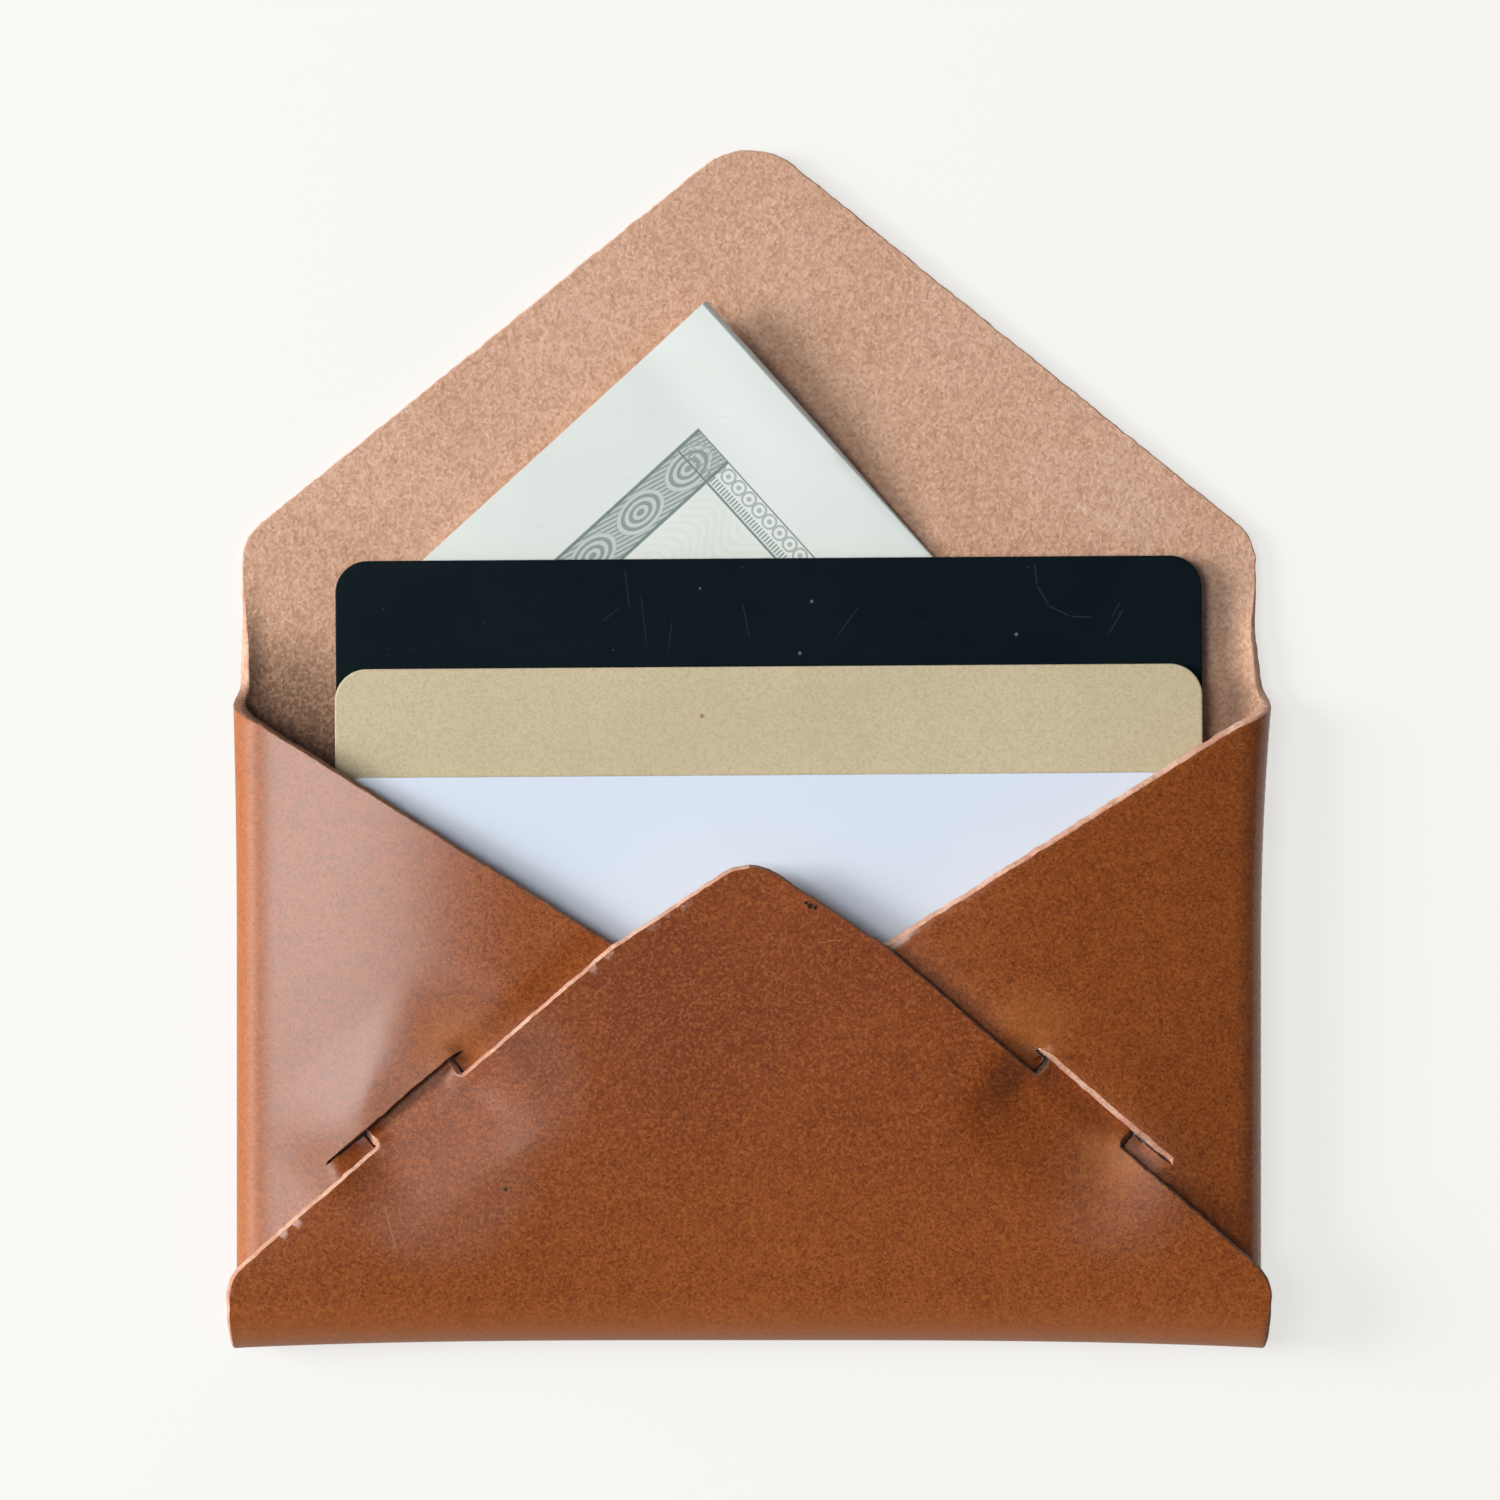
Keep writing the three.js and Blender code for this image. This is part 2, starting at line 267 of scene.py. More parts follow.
def normals_out(loop):
    """Outward normals of a loop that runs anticlockwise."""
    step = np.roll(loop, -1, axis=0) - loop
    step /= np.linalg.norm(step, axis=1)[:, None]
    mean = step + np.roll(step, 1, axis=0)
    mean /= np.maximum(np.linalg.norm(mean, axis=1), 1e-6)[:, None]
    return np.stack([mean[:, 1], -mean[:, 0]], axis=1)


def turning(loop):
    """Twice the loop's area, positive where it runs anticlockwise."""
    x, y = loop[:, 0], loop[:, 1]
    return np.sum(x * np.roll(y, -1) - y * np.roll(x, -1))


def inside(px, py, loop):
    """Which of the points lie inside a closed loop."""
    hit = np.zeros(len(px), bool)
    for (x0, y0), (x1, y1) in zip(loop, np.roll(loop, -1, axis=0)):
        if y0 == y1:
            continue
        cross = ((y0 > py) != (y1 > py)) & (px < (x1 - x0) * (py - y0) / (y1 - y0) + x0)
        hit ^= cross
    return hit


def pattern_v(y):
    """The pattern's v of a height on the folded front."""
    return BOTTOM_LINE - FRONT_TURN - (y - FRONT_START)


def on_edge(a, d):
    return CORNER + ALONG * a + OUT * d


def right_half():
    """The pattern's right half, from the front's tip up to the flap's tip."""
    front = [(13.6, pattern_v(FRONT_CORNER + (FRONT_HALF - 13.6) * math.tan(FRONT_SLANT)), 14.0)]
    tab_low, tab_high = SLIT_START + TAB_START, SLIT_START + TAB_START + TAB_WIDTH
    tip = SLIT_OUT + TAB_REACH
    tab = [(tab_high, 0, 0.25), (tab_high, tip, 1.4), (tab_low, tip, 2.2), (tab_low, 0, 0.25)]
    for a, d, r in tab:
        x, y = on_edge(a, d)
        front.append((x, pattern_v(y), r))
    front.append((FRONT_HALF, pattern_v(FRONT_CORNER), 4.2))
    drop = math.tan(math.radians(32))
    side_u = SIDE_LINE + SIDE_TURN + (SIDE_FRONT - 39.1)
    top_at = lambda u: 55.4 + (side_u - u) * drop
    rise = math.tan(math.radians(33))
    side = [
        (FRONT_HALF, BOTTOM_LINE + 0.35, 0),
        (SIDE_LINE + 0.2, BOTTOM_LINE + 0.35, 0),
        (SIDE_LINE + 0.2, FOLD_END, 0),
        (SIDE_LINE + SIDE_TURN + 2, FOLD_END, 2),
        (SIDE_LINE + SIDE_TURN + 41.5, FOLD_END + 39.5 * rise, 4),
        (SIDE_LINE + SIDE_TURN + 41.5, top_at(SIDE_LINE + SIDE_TURN + 41.5), 4),
        (FLAP_HALF, top_at(FLAP_HALF), 2.2),
        (FLAP_HALF, FLAP_CORNER, 5.2),
    ]
    return front + side


half = right_half()
front_tip = [(0, pattern_v(47.95), 5.0)]
flap_tip = [(0, FLAP_CORNER + FLAP_HALF * math.tan(FLAP_SLANT), 7.2)]
outline = rounded(front_tip + half + flap_tip + [(-x, y, r) for x, y, r in reversed(half)])


def slit_loop(sign):
    """The slit in a side flap, pushed open on the inner side where the tab passes."""
    low, high = TAB_START - 0.2, TAB_START + TAB_WIDTH + 0.2
    shape = [
        (0, SLIT_OUT, 0), (low - 0.15, SLIT_OUT - 0.12, 0), (low, RAMP_TO, 0.2),
        (high, RAMP_TO, 0.2), (high + 0.15, SLIT_OUT - 0.12, 0), (SLIT_LENGTH, SLIT_OUT, 0),
        (SLIT_LENGTH - 0.4, SLIT_OUT + 0.1, 0), (0.4, SLIT_OUT + 0.1, 0),
    ]
    points = []
    for a, d, r in shape:
        x, y = on_edge(SLIT_START + a, d)
        points.append((SIDE_LINE + SIDE_TURN + (SIDE_FRONT - x), y, r))
    loop = rounded(points)
    if sign < 0:
        loop = loop[::-1] * np.array([-1, 1])
    # Clockwise, so that its outward side is leather
    return loop if turning(loop) < 0 else loop[::-1]


def outer_side(u, v):
    """True beyond the slit, seen from the front's edge."""
    x = SIDE_FRONT - (np.abs(u) - SIDE_LINE - SIDE_TURN)
    return edge_frame(x, v)[1] > SLIT_OUT


def bevels(k, loop):
    """How far the grain side stands back from the flesh side along a cut edge."""
    x = SIDE_FRONT - (np.abs(loop[:, 0]) - SIDE_LINE - SIDE_TURN)
    if k > 0:
        lip = edge_frame(x, loop[:, 1])[1] > SLIT_OUT + 0.04
        return np.where(lip & (k == 1), 0.5, 0.1)
    front = loop[:, 1] < BOTTOM_LINE - FRONT_TURN
    y = FRONT_START + BOTTOM_LINE - FRONT_TURN - loop[:, 1]
    right = loop[:, 0] > 0
    out = np.where(front, np.where(right, 0.22, 0.36), np.where(right, 0.45, 0.3))
    return np.where(front & (edge_frame(loop[:, 0], y)[1] > 0.3), 0.12, out)


def place(u, v, w, outer):
    """A point of the sheet, w above its middle surface."""
    e = 0.02
    p = fold(u, v, outer)
    du = fold(u + e, v, outer) - fold(u - e, v, outer)
    dv = fold(u, v + e, outer) - fold(u, v - e, outer)
    n = np.cross(du, dv)
    n /= np.maximum(np.linalg.norm(n, axis=1), 1e-9)[:, None]
    return p + n * w[:, None]


SHARP_ANGLE = math.radians(26)


def new_object(name, points, faces, materials, indices=None, smooth_faces=True):
    mesh = bpy.data.meshes.new(name)
    shifted = (np.asarray(points, float) - np.array([0, MIDDLE_Y, 0])) * MM
    mesh.from_pydata(shifted.tolist(), [], faces)
    for material in materials:
        mesh.materials.append(material)
    if indices is not None:
        mesh.polygons.foreach_set("material_index", np.asarray(indices, dtype=np.int32))
    mesh.polygons.foreach_set("use_smooth", np.full(len(mesh.polygons), smooth_faces))
    mesh.update()
    mesh.set_sharp_from_angle(angle=SHARP_ANGLE)
    obj = bpy.data.objects.new(name, mesh)
    bpy.context.scene.collection.objects.link(obj)
    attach(obj, "root")
    return obj


EDGE_STEP, SLIT_STEP, GRID_STEP = 0.4, 0.35, 0.7
GRID_MARGIN = 0.82  # from the edge's own points to the grid's
FLESH_INSET = 0.13
EDGE_PROFILE = [(0.09, 0.5), (0.0, 0.38), (0.06, 0.05), (0.24, -0.28), (0.6, -0.52)]  # inwards, up


def build_leather(materials):
    loops = [resample(outline, EDGE_STEP)]
    loops += [resample(slit_loop(sign), SLIT_STEP) for sign in (1, -1)]
    if turning(outline) < 0:
        loops[0] = loops[0][::-1]
    rings = [normals_out(loop) for loop in loops]
    # Raw cut edges: a slightly ragged line
    for k, loop in enumerate(loops):
        x, y = loop[:, 0], loop[:, 1]
        rag = 0.055 * noise(x, y, 11 + k, 0.9) + 0.03 * noise(x, y, 31, 0.45)
        loops[k] = loop + rings[k] * rag[:, None]
    inner = [loop - ring * FLESH_INSET for loop, ring in zip(loops, rings)]
    backs = [bevels(k, loop) for k, loop in enumerate(loops)]
    grain_inner = np.concatenate(
        [loop - ring * back[:, None] for loop, ring, back in zip(loops, rings, backs)])

    us = np.arange(-100, 100, GRID_STEP)
    vs = np.arange(-54, 119, GRID_STEP * 0.866)
    gu, gv = np.meshgrid(us, vs)
    gu = gu + (np.arange(len(vs)) % 2)[:, None] * GRID_STEP / 2
    gu, gv = gu.ravel(), gv.ravel()
    keep = inside(gu, gv, outline)
    gu, gv = gu[keep], gv[keep]
    border = np.concatenate(inner)
    tree = KDTree(len(border))
    for i, (x, y) in enumerate(border):
        tree.insert((x, y, 0), i)
    tree.balance()
    keep = np.array([tree.find((x, y, 0))[2] > GRID_MARGIN for x, y in zip(gu, gv)])
    gu, gv = gu[keep], gv[keep]
    for loop in inner[1:]:
        keep = ~inside(gu, gv, loop)
        gu, gv = gu[keep], gv[keep]

    points = np.concatenate([border, np.stack([gu, gv], axis=1)])
    edges, start = [], 0
    for loop in inner:
        n = len(loop)
        edges += [(start + i, start + (i + 1) % n) for i in range(n)]
        start += n
    made = delaunay_2d_cdt([Vector(p) for p in points], edges, [], 0, 1e-7)
    flat = np.array([tuple(p) for p in made[0]])
    order = np.full(len(points), -1)
    for i, sources in enumerate(made[3]):
        for source in sources:
            order[source] = i
    tris = np.array([f for f in made[2] if len(f) == 3])
    centre = flat[tris].mean(axis=1)
    good = inside(centre[:, 0], centre[:, 1], inner[0])
    for loop in inner[1:]:
        good &= ~inside(centre[:, 0], centre[:, 1], loop)
    tris = tris[good]
    used = np.unique(tris)
    renumber = np.full(len(flat), -1)
    renumber[used] = np.arange(len(used))
    flat, tris = flat[used], renumber[tris]
    a, b, c = flat[tris[:, 0]], flat[tris[:, 1]], flat[tris[:, 2]]
    twice = (b[:, 0] - a[:, 0]) * (c[:, 1] - a[:, 1]) - (b[:, 1] - a[:, 1]) * (c[:, 0] - a[:, 0])
    tris[twice < 0] = tris[twice < 0][:, ::-1]
    flat_area = float(np.abs(twice).sum() / 2)

    count = len(flat)
    outer = outer_side(flat[:, 0], flat[:, 1])
    up = place(flat[:, 0], flat[:, 1], np.full(count, HALF), outer)
    grain = flat.copy()
    border_at = renumber[order[:len(border)]]
    grain[border_at] = grain_inner
    down = place(grain[:, 0], grain[:, 1], np.full(count, -HALF), outer)
    verts = [up, down]
    uvs = [flat, flat]
    faces = tris.tolist() + (tris[:, ::-1] + count).tolist()
    kinds = [1] * len(tris) + [0] * len(tris)
    total = 2 * count
    start = 0
    for loop, ring, bevel in zip(loops, rings, backs):
        n = len(loop)
        own = renumber[order[start:start + n]]
        start += n
        rows = [own]
        for k, (back, w) in enumerate(EDGE_PROFILE):
            rough = 0.04 * noise(loop[:, 0], loop[:, 1] + 50 * k, 5, 0.5)
            p = loop - ring * (back * bevel + rough * np.minimum(1, bevel / 0.3))[:, None]
            verts.append(place(p[:, 0], p[:, 1], np.full(n, w), outer_side(p[:, 0], p[:, 1])))
            uvs.append(p)
            rows.append(np.arange(total, total + n))
            total += n
        rows.append(own + count)
        for upper, lower in zip(rows, rows[1:]):
            for i in range(n):
                j = (i + 1) % n
                faces.append([int(upper[i]), int(lower[i]), int(lower[j]), int(upper[j])])
                kinds.append(2)
    obj = new_object("leather", np.concatenate(verts), faces, materials, kinds)
    mesh = obj.data
    where = np.concatenate(uvs)
    tone = mesh.attributes.new("flat_place", "FLOAT_VECTOR", "POINT")
    tone.data.foreach_set("vector", np.column_stack([where, np.zeros(len(where))]).ravel() * MM)
    return obj, flat_area


# Materials
def rgb(r, g, b):
    """An sRGB colour as linear light."""
    shares = (r / 255, g / 255, b / 255)
    return tuple(c / 12.92 if c <= 0.04045 else ((c + 0.055) / 1.055) ** 2.4 for c in shares) + (1,)


class Nodes:
    def __init__(self, name):
        self.material = bpy.data.materials.new(name)
        self.material.use_nodes = True
        self.tree = self.material.node_tree
        self.shader = self.tree.nodes["Principled BSDF"]

    def add(self, kind, inputs=None, **settings):
        node = self.tree.nodes.new("ShaderNode" + kind)
        for key, value in settings.items():
            setattr(node, key, value)
        for key, value in (inputs or {}).items():
            self.put(node.inputs[key], value)
        return node

    def put(self, socket, value):
        if isinstance(value, bpy.types.NodeSocket):
            self.tree.links.new(value, socket)
        elif isinstance(value, bpy.types.Node):
            self.tree.links.new(value.outputs[0], socket)
        else:
            socket.default_value = value

    def math(self, op, a, b=0.0, clamp=False):
        node = self.add("Math", operation=op, use_clamp=clamp)
        for socket, value in zip(node.inputs, (a, b)):
            self.put(socket, value)
        return node.outputs[0]

    def times(self, a, b, clamp=False):
        return self.math("MULTIPLY", a, b, clamp)

    def plus(self, a, b):
        return self.math("ADD", a, b)

    def minus(self, a, b):
        return self.math("SUBTRACT", a, b)

    def most(self, a, b):
        return self.math("MAXIMUM", a, b)

    def mix(self, factor, a, b):
        node = self.add("Mix", data_type="RGBA")
        self.put(node.inputs["Factor"], factor)
        self.put(node.inputs["A"], a)
        self.put(node.inputs["B"], b)
        return node.outputs["Result"]

    def noise(self, vector, scale, detail=2.0, roughness=0.5, distortion=0.0):
        node = self.add("TexNoise", {"Vector": vector, "Scale": scale, "Detail": detail,
                                     "Roughness": roughness, "Distortion": distortion})
        return node.outputs["Fac"]

    def specks(self, vector, scale):
        """A random value from 0 to 1 for each small cell."""
        node = self.add("TexVoronoi", {"Vector": vector, "Scale": scale})
        return self.add("SeparateColor", {0: node.outputs["Color"]}).outputs[0]

    def band(self, value, low, high):
        """0 below low, 1 above high."""
        ends = {"Value": value, "From Min": low, "From Max": high}
        return self.add("MapRange", ends, interpolation_type="SMOOTHSTEP").outputs["Result"]

    def span(self, value, low, rise, high, fall):
        """1 between rise and high, 0 below low and above fall."""
        return self.times(self.band(value, low, rise), self.minus(1.0, self.band(value, high, fall)))

    def grit(self, vector, cells, clouds, detail=2):
        """Small cells mixed with fine noise, from 0 to 1."""
        return self.times(self.plus(self.specks(vector, cells), self.noise(vector, clouds, detail)), 0.5)

    def place(self):
        return self.add("TexCoord").outputs["Object"]

    def near(self, vector, x, y, radius, soft):
        """1 at a spot on the plan, in mm, 0 away from it."""
        flat = self.add("VectorMath", {0: vector, 1: (1, 1, 0)}, operation="MULTIPLY")
        spot = (x * MM, y * MM, 0)
        d = self.add("VectorMath", {0: flat, 1: spot}, operation="DISTANCE").outputs["Value"]
        return self.minus(1.0, self.band(d, radius * MM, (radius + soft) * MM))

    def stroke(self, vector, x0, y0, x1, y1, width):
        """1 along a straight scratch."""
        length = math.hypot(x1 - x0, y1 - y0)
        turn = self.add("VectorRotate", {"Vector": vector, "Center": (x0 * MM, y0 * MM, 0),
                                         "Angle": -math.atan2(y1 - y0, x1 - x0)}, rotation_type="Z_AXIS")
        parts = self.add("SeparateXYZ", {0: turn})
        across = self.math("ABSOLUTE", self.minus(parts.outputs["Y"], y0 * MM))
        on = self.minus(1.0, self.band(across, width * 0.3 * MM, width * MM))
        run = self.minus(parts.outputs["X"], x0 * MM)
        ends = self.span(run, 0, 0.2 * length * MM, 0.8 * length * MM, length * MM)
        return self.times(on, ends)

    def bump(self, height, strength, distance):
        node = self.add("Bump", {"Height": height, "Strength": strength, "Distance": distance * MM})
        self.put(self.shader.inputs["Normal"], node)

    def finish(self, color, roughness, **constants):
        self.put(self.shader.inputs["Base Color"], color)
        self.put(self.shader.inputs["Roughness"], roughness)
        for key, value in constants.items():
            self.shader.inputs[key.replace("_", " ")].default_value = value
        return self.material


def photo_mm(px, py):
    """Plan place of a pixel of the photograph, in the frame's mm."""
    return (px - 749.0) / 10.15, (744.2 - py) / 10.15


def grain_material():
    n = Nodes("leather_grain")
    p = n.place()
    pattern = n.add("Attribute", attribute_name="flat_place").outputs["Vector"]
    parts = n.add("SeparateXYZ", {0: pattern})
    across = n.math("ABSOLUTE", parts.outputs["X"])
    cloud = n.noise(pattern, 38, 3, 0.5)
    mottle = n.noise(pattern, 420, 3, 0.6)
    fine = n.grit(pattern, 4000, 2900)
    pores = n.grit(pattern, 5200, 2300)
    color = n.mix(n.band(cloud, 0.3, 0.7), rgb(124, 58, 19), rgb(142, 71, 27))
    # Painted light: the lower front, near the bottom fold, and both folds are painted lighter where they
    # catch more light
    painted_light_low_front_and_folds = n.most(n.band(parts.outputs["Y"], -34 * MM, -6 * MM), n.band(across, 48 * MM, 60 * MM))
    color = n.mix(n.times(painted_light_low_front_and_folds, 0.45), color, rgb(158, 86, 36))
    color = n.mix(n.times(n.band(mottle, 0.4, 0.7), 0.25), color, rgb(104, 46, 14))
    color = n.mix(n.times(n.band(fine, 0.4, 0.8), 0.55), color, rgb(176, 100, 46))
    color = n.mix(n.times(n.band(pores, 0.45, 0.8), 0.6), color, rgb(88, 36, 10))
    # Lighter over the folds: partly stretched leather, partly painted light, strong on the left fold
    # that faces the light and weak on the right fold in shade
    fold_side_stretch_and_light = n.span(across, *[(SIDE_LINE + d) * MM for d in (2, 4.5, 5.5, 9)])
    fold_side_stretch_and_light = n.times(fold_side_stretch_and_light, n.band(parts.outputs["Y"], 1 * MM, 5 * MM))
    # Painted light: the right fold, lying in shade, keeps only a fifth of the lightening
    right_fold_shade_share = n.times(n.math("GREATER_THAN", parts.outputs["X"], 0.0), 0.8)
    fold_side_stretch_and_light = n.times(fold_side_stretch_and_light, n.minus(1.0, right_fold_shade_share))
    low_turn = BOTTOM_LINE - FRONT_TURN
    fold_low_stretch_and_light = n.span(parts.outputs["Y"], (low_turn - 1.5) * MM, (low_turn + 3.5) * MM,
                      (BOTTOM_LINE - 4) * MM, BOTTOM_LINE * MM)
    color = n.mix(n.times(fold_side_stretch_and_light, 0.3), color, rgb(204, 122, 60))
    color = n.mix(n.times(fold_low_stretch_and_light, 0.6), color, rgb(174, 98, 36))
    marks = 0.0
    for x, y, r in [(507, 1187, 0.12), (810, 905, 0.2), (806, 902, 0.12), (815, 907, 0.14)]:
        marks = n.most(marks, n.near(p, *photo_mm(x, y), r, 0.16))
    color = n.mix(marks, color, rgb(30, 18, 12))
    pale = n.most(n.stroke(p, *photo_mm(385, 1200), *photo_mm(399, 1252), 0.12),
                  n.stroke(p, *photo_mm(815, 942), *photo_mm(846, 938), 0.1))
    color = n.mix(n.times(pale, 0.35), color, rgb(190, 130, 84))
    n.bump(n.noise(pattern, 1300, 1), 0.06, 0.1)
    # Painted light: warm, lighter spots at the slit ends, where the leather bulges toward the light
    glow = 0.0
    for x, y, r in [(452, 1040, 1.0), (1030, 1022, 1.2), (1112, 1155, 0.8)]:
        glow = n.most(glow, n.near(p, *photo_mm(x, y), r, 4.0))
    color = n.mix(n.times(glow, 0.24), color, rgb(196, 124, 60))
    rough = n.plus(0.2, n.times(fine, 0.08))
    rough = n.plus(rough, n.times(n.most(fold_side_stretch_and_light, fold_low_stretch_and_light), 0.3))
    # Matt where the tabs pull at the leather
    pulled = 0.0
    for x, y, r in [(500, 1085, 3.0), (455, 1030, 1.2), (440, 1172, 4.5), (1120, 1185, 3.0)]:
        pulled = n.most(pulled, n.near(p, *photo_mm(x, y), r, 7.0))
    rough = n.plus(rough, n.times(pulled, 0.3))
    return n.finish(color, rough, Specular_IOR_Level=0.5)


def flesh_material():
    n = Nodes("leather_flesh")
    p = n.place()
    cloud = n.noise(p, 60, 3, 0.5)
    clump = n.noise(p, 700, 3, 0.6, 0.4)
    fibre = n.grit(p, 3400, 2400, 3)
    color = n.mix(n.band(cloud, 0.3, 0.7), rgb(208, 164, 135), rgb(216, 174, 147))
    color = n.mix(n.times(n.band(clump, 0.45, 0.7), 0.25), color, rgb(168, 120, 88))
    color = n.mix(n.times(n.band(fibre, 0.45, 0.85), 0.45), color, rgb(234, 196, 168))
    color = n.mix(n.times(n.minus(1.0, n.band(fibre, 0.15, 0.55)), 0.34), color, rgb(150, 102, 72))
    # Painted shade at the two necks, where the pocket's sides shade the flesh side; the left neck darker
    # than the right
    right_neck_shade = n.times(n.near(p, *photo_mm(1262, 722), 1.5, 5.0), 0.4)
    neck_shade = n.most(n.near(p, *photo_mm(280, 745), 4.5, 10.0), right_neck_shade)
    neck_shade_color = n.mix(n.band(fibre, 0.35, 0.7), rgb(66, 46, 34), rgb(128, 90, 64))
    color = n.mix(n.times(neck_shade, 0.75), color, neck_shade_color)
    pale = n.most(n.stroke(p, *photo_mm(545, 300), *photo_mm(640, 332), 0.35),
                  n.stroke(p, *photo_mm(1070, 500), *photo_mm(1145, 535), 0.35))
    color = n.mix(n.times(pale, 0.3), color, rgb(230, 194, 170))
    n.bump(n.plus(n.times(clump, 0.8), fibre), 0.8, 0.22)
    return n.finish(color, 0.92, Specular_IOR_Level=0.2)


def edge_material():
    n = Nodes("leather_edge")
    p = n.place()
    fibre = n.noise(p, 2200, 3, 0.65, 0.6)
    clump = n.noise(p, 300, 2, 0.5)
    color = n.mix(n.band(clump, 0.35, 0.65), rgb(204, 152, 126), rgb(226, 182, 158))
    color = n.mix(n.times(n.band(fibre, 0.45, 0.7), 0.5), color, rgb(150, 98, 66))
    # Painted shade: the edges that face away from the light are browner, the left flap's and the front's
    # right one
    parts = n.add("SeparateXYZ", {0: n.add("Attribute", attribute_name="flat_place").outputs["Vector"]})
    x, v = parts.outputs["X"], parts.outputs["Y"]
    above_fold = n.math("GREATER_THAN", v, FOLD_END * MM)
    below_neck = n.band(n.times(v, -1.0), (-NECK - 2) * MM, (1 - NECK) * MM)
    left_edge_in_shade = n.times(n.math("LESS_THAN", x, 0), n.times(above_fold, below_neck))
    right = n.times(n.math("GREATER_THAN", x, 0), n.math("LESS_THAN", v, BOTTOM_LINE * MM))
    edge_shade_color = n.mix(n.band(fibre, 0.4, 0.6), rgb(122, 80, 50), rgb(92, 58, 38))
    color = n.mix(n.times(n.most(left_edge_in_shade, right), 0.8), color, edge_shade_color)
    n.bump(fibre, 0.7, 0.2)
    return n.finish(color, 0.9, Specular_IOR_Level=0.2)


def white_material():
    n = Nodes("card_white")
    p = n.place()
    cloud = n.noise(p, 30, 2)
    color = n.mix(n.band(cloud, 0.3, 0.7), rgb(216, 226, 239), rgb(222, 231, 243))
    n.bump(n.noise(p, 3000, 1), 0.03, 0.05)
    return n.finish(color, 0.4, Specular_IOR_Level=0.3)


def kraft_material():
    n = Nodes("card_kraft")
    p = n.place()
    cloud = n.noise(p, 60, 2, 0.5)
    speck = n.grit(p, 4600, 3000)
    stretched = n.add("Mapping", {"Vector": p, "Scale": (1.0, 5.0, 1.0), "Rotation": (0, 0, 0.4)})
    fibre = n.noise(stretched, 700, 3, 0.7, 1.2)
    color = n.mix(n.band(cloud, 0.3, 0.7), rgb(201, 186, 152), rgb(207, 192, 158))
    color = n.mix(n.times(n.band(speck, 0.3, 0.85), 0.38), color, rgb(168, 151, 117))
    color = n.mix(n.times(n.band(fibre, 0.6, 0.72), 0.15), color, rgb(220, 207, 177))
    marks = n.near(p, *photo_mm(702, 716), 0.14, 0.12)
    color = n.mix(n.times(marks, 0.7), color, rgb(128, 92, 62))
    n.bump(speck, 0.2, 0.08)
    return n.finish(color, 0.75, Specular_IOR_Level=0.2)


def black_material():
    n = Nodes("card_black")
    p = n.place()
    cloud = n.noise(p, 80, 3, 0.6)
    color = n.mix(n.band(cloud, 0.3, 0.7), rgb(13, 24, 30), rgb(16, 27, 32))
    dust = n.noise(p, 2200, 0, 0.5)
    color = n.mix(n.times(n.band(dust, 0.84, 0.88), 0.2), color, rgb(100, 105, 105))
    scratches = 0.0
    strokes = [
        (1035, 562, 1038, 586, 0.09), (1037, 584, 1050, 606, 0.09), (1048, 605, 1072, 616, 0.09),
        (1070, 616, 1094, 617, 0.09), (1108, 636, 1126, 606, 0.09), (1112, 618, 1122, 600, 0.07),
        (624, 565, 630, 612, 0.07), (640, 590, 647, 650, 0.06), (600, 622, 622, 606, 0.06),
        (835, 640, 860, 604, 0.06), (742, 600, 750, 640, 0.06), (672, 618, 668, 655, 0.05),
    ]
    for x0, y0, x1, y1, w in strokes:
        line = n.stroke(p, *photo_mm(x0, y0), *photo_mm(x1, y1), w)
        scratches = n.most(scratches, line)
    color = n.mix(n.times(scratches, 0.13), color, rgb(110, 116, 116))
    for x, y, r in [(1017, 634, 0.12), (812, 601, 0.1), (800, 653, 0.12), (700, 588, 0.06)]:
        color = n.mix(n.times(n.near(p, *photo_mm(x, y), r, 0.1), 0.45), color, rgb(140, 142, 140))
    rough = n.plus(0.17, n.times(n.noise(p, 400, 2), 0.06))
    n.bump(dust, 0.05, 0.04)
    return n.finish(color, rough, Specular_IOR_Level=0.06)


NOTE_TURN = 47.8
NOTE_CORNER = (-4.4, 102.3)


